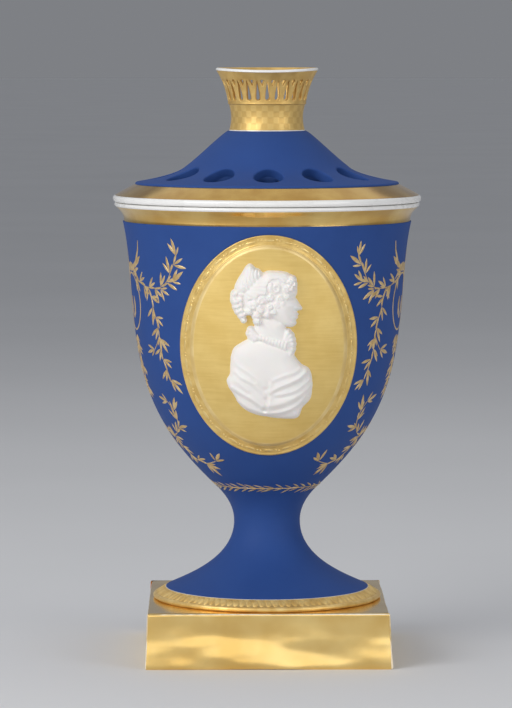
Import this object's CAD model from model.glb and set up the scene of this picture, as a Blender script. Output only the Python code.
import math

import bmesh
import bpy
import numpy as np
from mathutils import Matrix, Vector, noise
from mathutils.geometry import delaunay_2d_cdt


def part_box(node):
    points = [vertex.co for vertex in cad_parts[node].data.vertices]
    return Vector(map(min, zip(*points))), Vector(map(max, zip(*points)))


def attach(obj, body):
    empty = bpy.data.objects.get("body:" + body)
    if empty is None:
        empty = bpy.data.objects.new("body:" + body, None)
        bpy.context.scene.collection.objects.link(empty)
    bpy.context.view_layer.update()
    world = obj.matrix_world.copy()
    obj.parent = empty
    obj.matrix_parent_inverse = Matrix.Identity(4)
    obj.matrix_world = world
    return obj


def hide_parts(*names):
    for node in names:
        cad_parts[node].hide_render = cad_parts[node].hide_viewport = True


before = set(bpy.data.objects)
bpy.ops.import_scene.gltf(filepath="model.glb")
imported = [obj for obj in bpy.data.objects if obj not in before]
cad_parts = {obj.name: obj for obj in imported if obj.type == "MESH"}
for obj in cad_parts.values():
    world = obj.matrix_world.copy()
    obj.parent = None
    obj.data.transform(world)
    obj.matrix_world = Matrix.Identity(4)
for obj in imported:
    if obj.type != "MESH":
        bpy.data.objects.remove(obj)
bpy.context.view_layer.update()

# Plinth: a square porcelain base, open underneath, gilded on all that shows.
# The gilding is burnished by hand over a slightly uneven glaze, so it gleams in soft patches,
# and it is rubbed back to white along the edges. The nut of the tie bolt pulls it to the foot.
MM = 0.001
bore_r = 4.5
plinth_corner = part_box("plinth")[1]
plinth_half, plinth_top = plinth_corner.x / MM, plinth_corner.z / MM
plinth_batter = 1.2
plinth_wall = 6.0
plinth_plate = 6.0
plinth_edge = 1.0


class Wire:
    """One output of a node, with the sums of a finish or a form written as plain arithmetic."""

    def __init__(self, tree, socket=None):
        self.tree, self.socket = tree, socket

    def node(self, kind, settings=(), values=(), out=0):
        """Any node: its type, its settings, then the values or links of its sockets."""
        made = self.tree.nodes.new(kind)
        for key, value in dict(settings).items():
            setattr(made, key, value)
        for key, value in dict(values).items():
            for one in value if isinstance(value, list) else [value]:
                if isinstance(one, Wire):
                    self.tree.links.new(one.socket, made.inputs[key])
                else:
                    made.inputs[key].default_value = one
        return Wire(self.tree, made.outputs[out])

    def maths(self, operation, *values):
        """A Math node that has this wire as its first value."""
        return self.node("ShaderNodeMath", {"operation": operation}, dict(enumerate((self,) + values)))

    def __add__(self, other):
        return self.maths("ADD", other)

    def __sub__(self, other):
        return self.maths("SUBTRACT", other)

    def __rsub__(self, other):
        return self.node("ShaderNodeMath", {"operation": "SUBTRACT"}, {0: other, 1: self})

    def __mul__(self, other):
        return self.maths("MULTIPLY", other)

    def __truediv__(self, other):
        return self.maths("DIVIDE", other)

    def __abs__(self):
        return self.maths("ABSOLUTE")

    __radd__ = __add__
    __rmul__ = __mul__

    def rise(self, low, high):
        """From 0 at the low value to 1 at the high one, eased."""
        return self.node("ShaderNodeMapRange", {"interpolation_type": "SMOOTHSTEP"},
                         {"Value": self, "From Min": low, "From Max": high})

    def between(self, *colours):
        """A colour between two, by this share: each is a mix, or values on a screen from 0 to 255."""
        first, second = (c if isinstance(c, Wire) else shade(*c) for c in colours)
        return self.node("ShaderNodeMix", {"data_type": "RGBA"}, {0: self, 6: first, 7: second}, out=2)

    def mottle(self, size, detail=2.0, roughness=0.5):
        """Cloudy noise on these coordinates, with patches of about this size in millimetres."""
        return self.node("ShaderNodeTexNoise", values={
            "Vector": self, "Scale": 1 / (size * MM), "Detail": detail, "Roughness": roughness})

    def stretched(self, *scale):
        """These coordinates, scaled along each axis."""
        return self.node("ShaderNodeMapping", values={"Vector": self, "Scale": scale})

    def axes(self):
        """The three values of a vector."""
        return [self.node("ShaderNodeSeparateXYZ", values={0: self}, out=i) for i in range(3)]

    def point(self, x=0.0, y=0.0, z=0.0):
        """A vector from three values."""
        return self.node("ShaderNodeCombineXYZ", values={0: x, 1: y, 2: z})

    def about_z(self):
        """A turn by this angle about the upright axis."""
        return self.node("FunctionNodeEulerToRotation", values={0: self.point(z=self)})


def shade(red, green, blue):
    """A colour as it looks on a screen, from 0 to 255 each, as the shader takes it."""
    return tuple(((c / 255 + 0.055) / 1.055) ** 2.4 for c in (red, green, blue)) + (1.0,)


def finish(name, **even):
    """A new material with its even values set, its shader, and the Object coordinates of its patterns."""
    material = bpy.data.materials.new(name)
    material.use_nodes = True
    shader = material.node_tree.nodes["Principled BSDF"]
    for key, value in even.items():
        shader.inputs[key.replace("_", " ")].default_value = value
    place = Wire(material.node_tree).node("ShaderNodeTexCoord", out=3)
    return material, shader, place


def feed(shader, **wires):
    """Links wires to the sockets of a shader."""
    for key, wire in wires.items():
        wire.tree.links.new(wire.socket, shader.inputs[key.replace("_", " ")])


def roughened(wire, height, depth):
    """A normal from a height, deep by this many millimetres."""
    return wire.node("ShaderNodeBump", values={"Height": height, "Distance": depth * MM, "Strength": 1.0})


gold_deep, gold_bright, worn_cream = (218, 174, 96), (242, 208, 132), (250, 238, 214)


def gilding(name, roughness, patch, ripple, depth, tones=(gold_deep, gold_bright), metal=1.0, worn=None):
    """Gold on porcelain: patches of burnish, a faint ripple, and cream where it is worn away."""
    material, shader, place = finish(name)
    cloud = place.mottle(patch, 3.0)
    speck = place.mottle(0.5, 1.0)
    bare = speck.rise(0.74, 0.8) * 0.3
    if worn:
        bare = bare.maths("MAXIMUM", worn(place))
    feed(shader, Base_Color=bare.between(cloud.rise(0.3, 0.7).between(*tones), worn_cream),
         Metallic=(1 - bare) * metal, Roughness=roughness + 0.12 * cloud + 0.04 * speck,
         Normal=roughened(place, place.mottle(ripple, 1.0) + 0.04 * speck, depth))
    return material


def plinth_wear(place, bare_to=0.55, kept_from=0.9):
    """Cream along the upright corners and the top edge, broken up a little."""
    x, y, z = place.axes()
    half = (plinth_half - plinth_batter * z / (plinth_top * MM)) * MM
    near_x, near_y = half - abs(x), half - abs(y)
    side = near_x.maths("MINIMUM", near_y)
    corner = near_x.maths("MAXIMUM", near_y) * 0.9
    brim = side.maths("MAXIMUM", plinth_top * MM - z)
    near = corner.maths("MINIMUM", brim) + (place.mottle(5, 3.0) - 0.5) * (0.5 * MM)
    return 1 - near.rise(bare_to * MM, kept_from * MM)


def fired_white(name, patch, tones, roughness, varies, tooth, depth, **even):
    """Porcelain in its own white: faint clouds of tone and gloss, and a fine tooth."""
    material, shader, place = finish(name, **even)
    cloud = place.mottle(patch, 3.0)
    feed(shader, Base_Color=cloud.between(*tones), Roughness=roughness + varies * cloud,
         Normal=roughened(place, place.mottle(tooth), depth))
    return material


plinth_gold = gilding("plinth_gold", 0.05, 30, 11, 0.03, ((238, 196, 114), (255, 222, 146)), worn=plinth_wear)
raw_white = fired_white("bare_porcelain", 9, ((226, 222, 214), (238, 236, 230)), 0.65, 0.2, 0.4, 0.02,
                        Specular_IOR_Level=0.25)


def band(low, high, count):
    """Faces between two rings of points, by the number of each one's first point."""
    return [(low + i, low + (i + 1) % count, high + (i + 1) % count, high + i) for i in range(count)]


def rings_shape(levels, closed=True):
    """Faces between rings of equal length; each ring comes with the finish of the step to the next."""
    count = len(levels[0][0])
    points = [tuple(c * MM for c in p) for ring, _ in levels for p in ring]
    shapes = {}
    for k, (_, made) in enumerate(levels if closed else levels[:-1]):
        shapes.setdefault(made, []).extend(band(k * count, (k + 1) % len(levels) * count, count))
    return [(points, faces, made) for made, faces in shapes.items()]


def piece(name, shapes, body, nodes=(), sharp=40, seam=0.004 * MM):
    """Joins the shapes of one piece, closes its seams, and fixes it to its body."""
    points, faces, used, finishes = [], [], [], []
    for shape_points, shape_faces, made in shapes:
        if made not in finishes:
            finishes.append(made)
        start = len(points)
        points.extend(shape_points)
        faces.extend([start + i for i in face] for face in shape_faces)
        used.extend([finishes.index(made)] * len(shape_faces))
    mesh = bpy.data.meshes.new(name)
    mesh.from_pydata(points, [], faces)
    for made in finishes:
        mesh.materials.append(made)
    mesh.polygons.foreach_set("material_index", used)
    work = bmesh.new()
    work.from_mesh(mesh)
    bmesh.ops.remove_doubles(work, verts=work.verts, dist=seam)
    loose = [v for v in work.verts if not v.link_faces]
    bmesh.ops.delete(work, geom=loose, context="VERTS")
    bmesh.ops.recalc_face_normals(work, faces=work.faces)
    limit = math.radians(sharp)
    for edge in work.edges:
        edge.smooth = len(edge.link_faces) != 2 or edge.calc_face_angle(0) < limit
    for face in work.faces:
        face.smooth = True
    work.to_mesh(mesh)
    work.free()
    thing = bpy.data.objects.new(name, mesh)
    bpy.context.scene.collection.objects.link(thing)
    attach(thing, body)
    if nodes:
        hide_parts(*nodes)
    return thing


def square_level(half, corner, z, drawn=0.0):
    """One level of the plinth: a square with rounded corners, drawn towards the bolt's bore by a share."""
    ring = []
    runs = [(half, across) for across in np.linspace(corner - half, half - corner, 49)]
    bends = [(half - corner + corner * math.cos(a), half - corner + corner * math.sin(a))
             for a in np.radians([15, 30, 45, 60, 75])]
    for turn in range(4):
        for x, y in runs + bends:
            for _ in range(turn):
                x, y = -y, x
            pull = drawn * bore_r / math.hypot(x, y)
            ring.append(((1 - drawn + pull) * x, (1 - drawn + pull) * y, z))
    return ring


wave_long, wave_tall, wave_shift = 38, 13, 25
ripple_long, ripple_tall, ripple_shift, ripple_share = 15, 6, 7, 0.25
glaze_wave, glaze_dish, glaze_lean, glaze_twist = 0.36, 0.5, 0.42, 0.24
corner_fall, top_fall, bottom_fall, corner_width, edge_width = 0.25, 0.15, 0.42, 4, 3


def uneven(ring):
    """The glaze under the gold waves a little, is dished, leans and twists, and falls at each edge."""
    moved = []
    for x, y, z in ring:
        wave = noise.noise(Vector(((x - wave_shift) / wave_long, y / wave_long, z / wave_tall)))
        wave += ripple_share * noise.noise(
            Vector((x / ripple_long + ripple_shift, y / ripple_long, z / ripple_tall)))
        corner, high = plinth_half - min(abs(x), abs(y)), 2 * z / plinth_top - 1
        across = math.copysign(x, -x * y) if abs(y) > abs(x) else math.copysign(y, x * y)
        out = glaze_wave * wave - glaze_dish * (1 - high * high)
        out -= (glaze_lean - glaze_twist * across / plinth_half) * high
        out -= (corner_fall * math.exp(-corner / corner_width)
                + top_fall * math.exp((z - plinth_top) / edge_width)
                + bottom_fall * math.exp(-z / edge_width))
        away = (Vector((x, 0, 0)) if abs(x) > abs(y) else Vector((0, y, 0))).normalized()
        moved.append((x + out * away.x, y + out * away.y, z))
    return moved


outer_round, inner_round = 0.9, 2.0
foot_edge, hollow_edge = 0.5, 0.6
top_half = plinth_half - plinth_batter
hollow_half, hollow_top = plinth_half - plinth_wall, plinth_top - plinth_plate
side_levels = np.linspace(foot_edge, plinth_top - plinth_edge, 42)
plinth_levels = [
    (uneven(square_level(plinth_half - plinth_batter * z / side_levels[-1], outer_round, z)), plinth_gold)
    for z in side_levels]
plinth_levels += [
    (uneven(square_level(top_half - plinth_edge * (1 - math.cos(a)), outer_round,
                         plinth_top - plinth_edge * (1 - math.sin(a)))), plinth_gold)
    for a in np.radians([25, 50, 70, 90])]
plinth_levels += [
    (square_level(top_half - plinth_edge, outer_round, plinth_top, drawn),
     plinth_gold if drawn < 0.5 else raw_white)
    for drawn in (0.04, 0.1, 0.3, 0.6, 0.85, 1.0)]
plinth_levels += [(square_level(top_half - plinth_wall, inner_round, hollow_top, drawn), raw_white)
                  for drawn in (1.0, 0.7, 0.3, 0.0)]
plinth_levels += [(square_level(hollow_half, inner_round, z), raw_white)
                  for z in (hollow_top - 1, hollow_top / 2, hollow_edge)]
plinth_levels += [(square_level(hollow_half + hollow_edge, inner_round, 0), raw_white),
                  (square_level(plinth_half - foot_edge, outer_round, 0), plinth_gold)]
piece("plinth_gilt", rings_shape(plinth_levels), "vase", ["plinth"])

# Foot: a trumpet foot and stem thrown in porcelain, hollow inside, with a matt blue ground.
# A gilt ring runs round its bottom edge, tooled with tongues. The joint to the bowl is dry,
# and the tie bolt presses foot and bowl together.
foot_z = plinth_top
joint_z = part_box("foot")[1].z / MM
joint_r = 28.6
waist_r = 18.1
waist_z = foot_z + 42.4
ring_foot_r = 61.15
ring_round = 1.45
slope_low, slope_mid, slope_high = (60.9, foot_z + 2.85), (58.4, foot_z + 4.45), (55.8, foot_z + 6.08)
trumpet_r = 55.6
trumpet_z = foot_z + 6.2
trumpet_lean, waist_lean, joint_lean = -65.9, 0, 46.5
foot_wall = 5.0
foot_roof = joint_z - 8.0
steps_round = 288


def curve(start, start_lean, start_pull, end, end_lean, end_pull, runs=24):
    """A smooth run of a profile between two points, by the lean from upright and the pull at each end."""
    a, d = np.array(start, float), np.array(end, float)
    b = a + start_pull * np.array([math.sin(math.radians(start_lean)), math.cos(math.radians(start_lean))])
    c = d - end_pull * np.array([math.sin(math.radians(end_lean)), math.cos(math.radians(end_lean))])
    t = np.linspace(0, 1, runs + 1)[:, None]
    return (1 - t) ** 3 * a + 3 * (1 - t) ** 2 * t * b + 3 * (1 - t) * t ** 2 * c + t ** 3 * d


def rounding(centre_r, centre_z, radius, start, end, runs=6):
    """An arc of a profile, by angles from straight out."""
    a = np.radians(np.linspace(start, end, runs + 1))
    return np.stack([centre_r + radius * np.cos(a), centre_z + radius * np.sin(a)], 1)


def joined(*parts):
    """One profile from several runs and single points."""
    return np.concatenate([np.atleast_2d(part) for part in parts])


def normals(profile):
    """The direction to the left of a profile, which is inwards on a profile that runs up."""
    along = np.gradient(profile, axis=0)
    along /= np.linalg.norm(along, axis=1)[:, None]
    return np.stack([-along[:, 1], along[:, 0]], 1)


def form_tree(name, *sockets):
    """A new tree of nodes for a form, with named inputs."""
    tree = bpy.data.node_groups.new(name, "GeometryNodeTree")
    for title, kind in (("Geometry", "Geometry"),) + sockets + (("Finish", "Material"),):
        tree.interface.new_socket(title, in_out="INPUT", socket_type="NodeSocket" + kind)
    tree.interface.new_socket("Geometry", in_out="OUTPUT", socket_type="NodeSocketGeometry")
    given = tree.nodes.new("NodeGroupInput")
    return {s.name: Wire(tree, s) for s in given.outputs if s.name}


def end_tree(form, finish_wire):
    """Ends a tree in real geometry with its finish."""
    real = form.node("GeometryNodeRealizeInstances", values={"Geometry": form})
    dressed = form.node("GeometryNodeSetMaterial", values={"Geometry": real, "Material": finish_wire})
    last = form.tree.nodes.new("NodeGroupOutput")
    form.tree.links.new(dressed.socket, last.inputs["Geometry"])
    return form.tree


def grown(tree, points, edges, faces, made, **values):
    """What a tree makes of a mesh, as a shape in metres."""
    mesh = bpy.data.meshes.new(tree.name)
    mesh.from_pydata([tuple(p) for p in points], edges, faces)
    blank = bpy.data.objects.new(tree.name, mesh)
    bpy.context.scene.collection.objects.link(blank)
    modifier = blank.modifiers.new(tree.name, "NODES")
    modifier.node_group = tree
    known = {s.name: s.identifier for s in tree.interface.items_tree if s.in_out == "INPUT"}
    for title, value in dict(values, Finish=made).items():
        modifier[known[title.replace("_", " ")]] = value
    result = bpy.data.meshes.new_from_object(blank.evaluated_get(bpy.context.evaluated_depsgraph_get()))
    blank.modifiers.remove(modifier)
    shape = ([tuple(v.co) for v in result.vertices], [tuple(p.vertices) for p in result.polygons], made)
    bpy.data.objects.remove(blank)
    return shape


def wheel_tree():
    """A profile turned about the axis, as on a potter's wheel."""
    given = form_tree("turned_on_the_wheel", ("Steps", "Int"))
    profile, steps = given["Geometry"], given["Steps"]
    count = profile.node("GeometryNodeAttributeDomainSize", {"component": "MESH"}, {0: profile})
    sheet = profile.node("GeometryNodeMeshGrid", values={
        "Size X": 1.0, "Size Y": 1.0, "Vertices X": steps + 1, "Vertices Y": count})
    across, along, _ = profile.node("GeometryNodeInputPosition").axes()
    turn = (across + 0.5) * (2 * math.pi)
    index = ((along + 0.5) * (count - 1)).maths("ROUND")
    spot = profile.node("GeometryNodeSampleIndex", {"data_type": "FLOAT_VECTOR", "domain": "POINT"}, {
        "Geometry": profile, "Value": profile.node("GeometryNodeInputPosition"), "Index": index})
    radius, _, height = spot.axes()
    place = profile.point(radius * turn.maths("COSINE"), radius * turn.maths("SINE"), height)
    moved = profile.node("GeometryNodeSetPosition", values={"Geometry": sheet, "Position": place})
    closed = profile.node("GeometryNodeMergeByDistance", values={"Geometry": moved, "Distance": 0.001 * MM})
    return end_tree(closed, given["Finish"])


wheel = wheel_tree()


def turned(profile, made, steps=steps_round):
    """One zone of a turned piece, from its profile in millimetres."""
    points = [(r * MM, 0, z * MM) for r, z in profile]
    return grown(wheel, points, [(i, i + 1) for i in range(len(points) - 1)], [], made, Steps=steps)


def blue_ground():
    """Matt blue enamel, fired without a gloss: even, with faint clouds and a fine tooth."""
    material, shader, place = finish("blue_ground", Specular_IOR_Level=0.16)
    cloud = place.mottle(18, 4.0, 0.6)
    speck = place.mottle(0.35, 2.0)
    feed(shader, Base_Color=(0.75 * cloud + 0.25 * speck).between((40, 70, 132), (49, 82, 148)),
         Roughness=0.55 + 0.14 * cloud, Normal=roughened(place, speck + 2 * place.mottle(5), 0.012))
    return material


matt_blue = blue_ground()
ring_gold = gilding("ring_gold", 0.34, 8, 6, 0.02, ((228, 186, 108), (250, 218, 146)), 0.62)
tongue_gold = gilding("tongue_gold", 0.42, 5, 4, 0.01, ((222, 182, 106), (244, 212, 140)), 0.6)

trumpet = curve((trumpet_r, trumpet_z), trumpet_lean, 14.5, (waist_r, waist_z), waist_lean, 20.4, 40)
stem = curve((waist_r, waist_z), waist_lean, 7, (joint_r, joint_z), joint_lean, 9.7)
foot_wall_line = joined(trumpet, stem[1:])
foot_hollow = foot_wall_line + foot_wall * normals(foot_wall_line)
foot_hollow = foot_hollow[(foot_hollow[:, 1] > foot_z) & (foot_hollow[:, 1] < foot_roof)]
ring_line = joined(rounding(ring_foot_r, foot_z + ring_round, ring_round, -90, 80, 14), slope_low)
foot_inside = joined((joint_r, joint_z), (bore_r, joint_z), (bore_r, foot_roof),
                     (foot_hollow[-1, 0], foot_roof), foot_hollow[::-1],
                     (foot_hollow[0, 0], foot_z), (ring_foot_r, foot_z))
piece("foot_turned", [turned(profile, made) for profile, made in (
    (ring_line, ring_gold), ([slope_low, slope_mid, slope_high], tongue_gold),
    ([slope_high, (trumpet_r, trumpet_z)], raw_white), (foot_wall_line, matt_blue), (foot_inside, raw_white))],
      "vase", ["foot"])


def ring_tree():
    """One shape repeated round the axis."""
    given = form_tree("ring_of_like_shapes", ("Count", "Int"))
    unit, count = given["Geometry"], given["Count"]
    points = unit.node("GeometryNodePoints", values={"Count": count})
    turn = unit.node("GeometryNodeInputIndex") * (2 * math.pi) / count
    copies = unit.node("GeometryNodeInstanceOnPoints", values={
        "Points": points, "Instance": unit, "Rotation": turn.about_z()})
    return end_tree(copies, given["Finish"])


ring_of = ring_tree()


def low_leaf(start, end, width, height):
    """A slim closed leaf of low relief, from its foot to its tip, lying on a slope."""
    a, b = np.array(start, float), np.array(end, float)
    up = np.array([-(b - a)[2], 0, (b - a)[0]])
    up *= math.copysign(1, up[2]) / np.linalg.norm(up)
    rings = []
    for share, girth in ((0.02, 0.3), (0.2, 0.85), (0.5, 1.0), (0.8, 0.8), (0.98, 0.25)):
        middle = a + share * (b - a)
        rings.append([
            middle + girth * (width * math.cos(t) / 2 * np.array([0, 1, 0]) + height * math.sin(t) * up)
            for t in np.radians([0, 45, 90, 135, 180, 270])])
    points = [tuple(a * MM)] + [tuple(p * MM) for ring in rings for p in ring] + [tuple(b * MM)]
    n, last = len(rings[0]), len(points) - 1
    faces = []
    for i in range(n):
        j = (i + 1) % n
        faces.append((0, 1 + i, 1 + j))
        faces.extend((1 + n * k + i, 1 + n * (k + 1) + i, 1 + n * (k + 1) + j, 1 + n * k + j)
                     for k in range(len(rings) - 1))
        faces.append((last, last - n + j, last - n + i))
    return points, faces


tongue_count, tongue_w, tongue_h = 104, 3.2, 0.34
tongue_foot, tongue_tip = (60.8, 0, foot_z + 2.9), (56.1, 0, foot_z + 5.85)
tongue = low_leaf(tongue_foot, tongue_tip, tongue_w, tongue_h)
piece("foot_tongues", [grown(ring_of, tongue[0], [], tongue[1], tongue_gold, Count=tongue_count)],
      "vase")

# Bowl: the ovoid body of the urn, in matt blue like the foot, glazed white inside.
# Above the blue stands a gilt cavetto collar, cut back by a hair, and a white lip left bare.
# The lid's seat is on this lip.
shoulder_z = joint_z + 144.5
shoulder_r = 78.8
lip_z = shoulder_z + 8.3
rim_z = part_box("bowl")[1].z / MM
lip_r = 83.4
collar_r = 78.2
mouth_r = collar_r - 4.5
belly = (70, joint_z + 70.6)
belly_lean, shoulder_lean = 11, 13
ledge_h, lip_edge, mouth_round = 0.4, 0.7, 1.2
bowl_wall = 4.5
bowl_floor = joint_z + 7

clear_white = fired_white("white_glaze", 12, ((236, 234, 230), (247, 246, 243)), 0.2, 0.16, 3, 0.01,
                          Coat_Weight=0.6, Coat_Roughness=0.06)
collar_gold = gilding("collar_gold", 0.08, 22, 16, 0.02)

bowl_line = joined(curve((joint_r, joint_z), joint_lean, 31.8, belly, belly_lean, 29.4, 40),
                   curve(belly, belly_lean, 25.7, (shoulder_r, shoulder_z), shoulder_lean, 21.4, 40)[1:])
bowl_hollow = bowl_line + bowl_wall * normals(bowl_line)
bowl_hollow = bowl_hollow[(bowl_hollow[:, 1] > bowl_floor) & (bowl_hollow[:, 1] < shoulder_z - 4)]
ledge = joined(bowl_line[-1], (78.75, shoulder_z + 0.25), (78.55, shoulder_z + 0.38),
               (collar_r, shoulder_z + ledge_h))
collar_line = joined(ledge[-1], curve((collar_r, shoulder_z + 0.7), 0, 4, (lip_r - lip_edge, lip_z), 42, 3))
lip_half = (rim_z - lip_z) / 2
lip_line = joined(collar_line[-1], rounding(lip_r - lip_half, lip_z + lip_half, lip_half, -60, 90, 10),
                  (mouth_r + mouth_round, rim_z),
                  rounding(mouth_r + mouth_round, rim_z - mouth_round, mouth_round, 95, 180))
bowl_inside = joined(lip_line[-1], (mouth_r, shoulder_z), bowl_hollow[::-1],
                     (bowl_hollow[0, 0] - bowl_wall, bowl_floor), (bore_r, bowl_floor))
bowl_under = [(bore_r, bowl_floor), (bore_r, joint_z), (joint_r, joint_z)]
piece("bowl_turned", [turned(profile, made) for profile, made in (
    (bowl_line, matt_blue), (ledge, matt_blue), (collar_line, collar_gold), (lip_line, clear_white),
    (bowl_inside, clear_white), (bowl_under, raw_white))], "vase", ["bowl"])

# Gilt painting: leafy sprays on the bowl and a laurel band where bowl and stem meet.
# They are drawn with a brush in raised gold on the blue and burnished, so they stand up by a hair.
# At each side a ring hangs from a leaf boss with two horns, and the sprays run from there.


def lengths(profile):
    """How far along a profile each of its points lies."""
    return np.concatenate([[0], np.cumsum(np.linalg.norm(np.diff(profile, axis=0), axis=1))])


bowl_run = joined(foot_wall_line[-12:-1], bowl_line)
bowl_length = lengths(bowl_run)
bowl_out = -normals(bowl_run)


def spray_tree():
    """A spray along a path from its tip to its root: a stem, and leaves by threes, on one side or by turns."""
    given = form_tree("leafy_spray", ("Leaf Length", "Float"), ("Leaf Width", "Float"),
                      ("Leaf Height", "Float"), ("Spacing", "Float"), ("First", "Float"), ("Second", "Float"),
                      ("Third", "Float"), ("Sides", "Int"), ("Stem", "Float"), ("Seed", "Int"))
    sway_most, least, most = 0.16, 0.8, 1.15
    path = given["Geometry"].node("GeometryNodeMeshToCurve", values={0: given["Geometry"]})
    path = path.node("GeometryNodeCurveSplineType", {"spline_type": "CATMULL_ROM"}, {0: path})
    dots = path.node("GeometryNodeCurveToPoints", {"mode": "LENGTH"},
                     {"Curve": path, "Length": given["Spacing"]})
    east, north, _ = Wire(path.tree, dots.socket.node.outputs["Tangent"]).axes()
    ahead = (north * -1).maths("ARCTAN2", east * -1)
    index = path.node("GeometryNodeInputIndex")
    side = 1 - 2 * index.maths("MODULO", given["Sides"])
    ball = path.node("GeometryNodeMeshUVSphere", values={"Segments": 6, "Rings": 8, "Radius": 1.0})
    x, y, z = path.node("GeometryNodeInputPosition").axes()
    girth = (1 - z * z).maths("MAXIMUM", 0.0).maths("POWER", 0.55) * (1 + 0.1 * z)
    place = path.point((z + 1.12) * given["Leaf Length"] * 0.5, x * girth * given["Leaf Width"] * 0.5,
                       y * girth * given["Leaf Height"])
    leaf = path.node("GeometryNodeSetPosition", values={"Geometry": ball, "Position": place})
    parts = []
    for number, (splay, share) in enumerate((("First", 1.0), ("Second", 0.85), ("Third", 0.7))):
        sway = path.node("FunctionNodeRandomValue", {"data_type": "FLOAT"}, {
            2: -sway_most, 3: sway_most, "Seed": given["Seed"] + number}, out=1)
        growth = path.node("FunctionNodeRandomValue", {"data_type": "FLOAT"}, {
            2: least * share, 3: most * share, "Seed": given["Seed"] + (10 + number)}, out=1)
        parts.append(path.node("GeometryNodeInstanceOnPoints", values={
            "Points": dots, "Instance": leaf, "Rotation": (ahead + side * given[splay] + sway).about_z(),
            "Scale": path.point(growth, growth, 1.0)}))
    brush = path.node("GeometryNodeCurvePrimitiveCircle", values={"Resolution": 6, "Radius": given["Stem"]})
    parts.append(path.node("GeometryNodeCurveToMesh", values={
        "Curve": path, "Profile Curve": brush, "Fill Caps": True}))
    return end_tree(path.node("GeometryNodeJoinGeometry", values={"Geometry": parts}), given["Finish"])


spray = spray_tree()


def chain(paths, closed=False):
    """Edges along each path, as a tree takes them."""
    points, edges = [], []
    for path in paths:
        first = len(points)
        points.extend((x * MM, y * MM, 0) for x, y in path)
        edges.extend((first + i, first + i + 1) for i in range(len(path) - 1))
        if closed:
            edges.append((len(points) - 1, first))
    return points, edges


def laid(shape, place):
    """A shape made in a plane, laid on a surface point by point."""
    moved = place(*(np.array(shape[0]).T / MM)) * MM
    return [tuple(p) for p in moved], shape[1], shape[2]


def bowl_plane(middle, side, flat_r=None):
    """Lays a plane on the bowl round an upright line, at this angle from the front; -1 mirrors it."""
    def place(across, along, out):
        r, z, out_r, out_z = (np.interp(along, bowl_length, line) for line in (*bowl_run.T, *bowl_out.T))
        turn = math.radians(middle) + side * across / (flat_r or r)
        reach = r + out * out_r
        return np.stack([reach * np.sin(turn), -reach * np.cos(turn), z + out * out_z], 1)
    return place


def on_plane(points, middle):
    """Angles from the front and heights, as points of that plane."""
    flat = []
    for angle, z in points:
        along = np.interp(z, bowl_run[:, 1], bowl_length)
        flat.append((math.radians(angle - middle) * np.interp(along, bowl_length, bowl_run[:, 0]), along))
    return flat


spray_gold = gilding("spray_gold", 0.3, 3, 2, 0.015, ((198, 165, 108), (226, 198, 146)), 0.5)
spray_paths = [
    [(-40.3, 221), (-41.5, 218), (-42.7, 215), (-44.2, 211.8), (-46.2, 207.6), (-49.4, 204.3), (-54, 203),
     (-58.2, 202.8), (-63.3, 203.8), (-67, 205.2), (-72, 208), (-76, 210)],
    [(-52.5, 106.5), (-57, 107.5), (-62.5, 109), (-66, 112), (-68.5, 115.5), (-70, 120)],
    [(-50.5, 154), (-51.2, 157), (-52.5, 161.5), (-53.3, 165), (-53.5, 168), (-54, 172.5), (-54, 178),
     (-54.5, 182.5), (-55.5, 187.5), (-57, 193), (-58, 198), (-60, 203.5)],
    [(-58.3, 141), (-56.8, 138.6), (-55.6, 136), (-55.5, 133), (-56, 130.5), (-58.5, 127), (-63, 123.5),
     (-70, 121)],
    [(-40, 108.4), (-44, 107.7), (-48, 107), (-52.5, 106.5)],
    [(-43.5, 207), (-46.2, 207.6)],
    [(-59, 169.5), (-57, 172), (-54, 177)],
    [(-51, 202.8), (-54, 202.6)],
    [(-80, 124), (-75, 122), (-70, 121)],
    [(-79, 148), (-78, 155), (-78, 163), (-79.5, 170), (-80, 176)]]
spray_shapes = []
side_left, side_right, left_turn, right_turn = -80, 77.5, 20, 18.7
spray_mesh = chain([on_plane(path, side_left + left_turn) for path in spray_paths])
for seed, (middle, side) in enumerate(((side_left + left_turn, 1), (side_right - right_turn, -1),
                                       (side_left - left_turn, -1), (side_right + right_turn, 1))):
    leaves = grown(spray, *spray_mesh, [], spray_gold, Leaf_Length=8.8 * MM, Leaf_Width=1.9 * MM,
                   Leaf_Height=0.24 * MM, Spacing=5.6 * MM, First=0.62, Second=1.12, Third=0.1, Sides=2,
                   Stem=0.22 * MM, Seed=20 * seed + 3)
    spray_shapes.append(laid(leaves, bowl_plane(middle, side)))


def stroke(points, widths, height=0.18, ends=6):
    """A closed brush stroke in a plane: a low round ridge along a path, wide as given at each point."""
    path = np.array(points, float)
    along = np.gradient(path, axis=0)
    along /= np.linalg.norm(along, axis=1)[:, None]
    made, faces = [], []
    for (x, y), (dx, dy), width in zip(path, along, widths):
        for t in np.radians(np.arange(0, 360, 360 / ends)):
            made.append(((x - dy * width / 2 * math.cos(t)) * MM, (y + dx * width / 2 * math.cos(t)) * MM,
                         height * math.sin(t) * MM))
    for k in range(len(path) - 1):
        faces.extend(band(k * ends, (k + 1) * ends, ends))
    faces.append(tuple(range(ends)))
    faces.append(tuple(range(len(made) - 1, len(made) - 1 - ends, -1)))
    return made, faces, spray_gold


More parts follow.
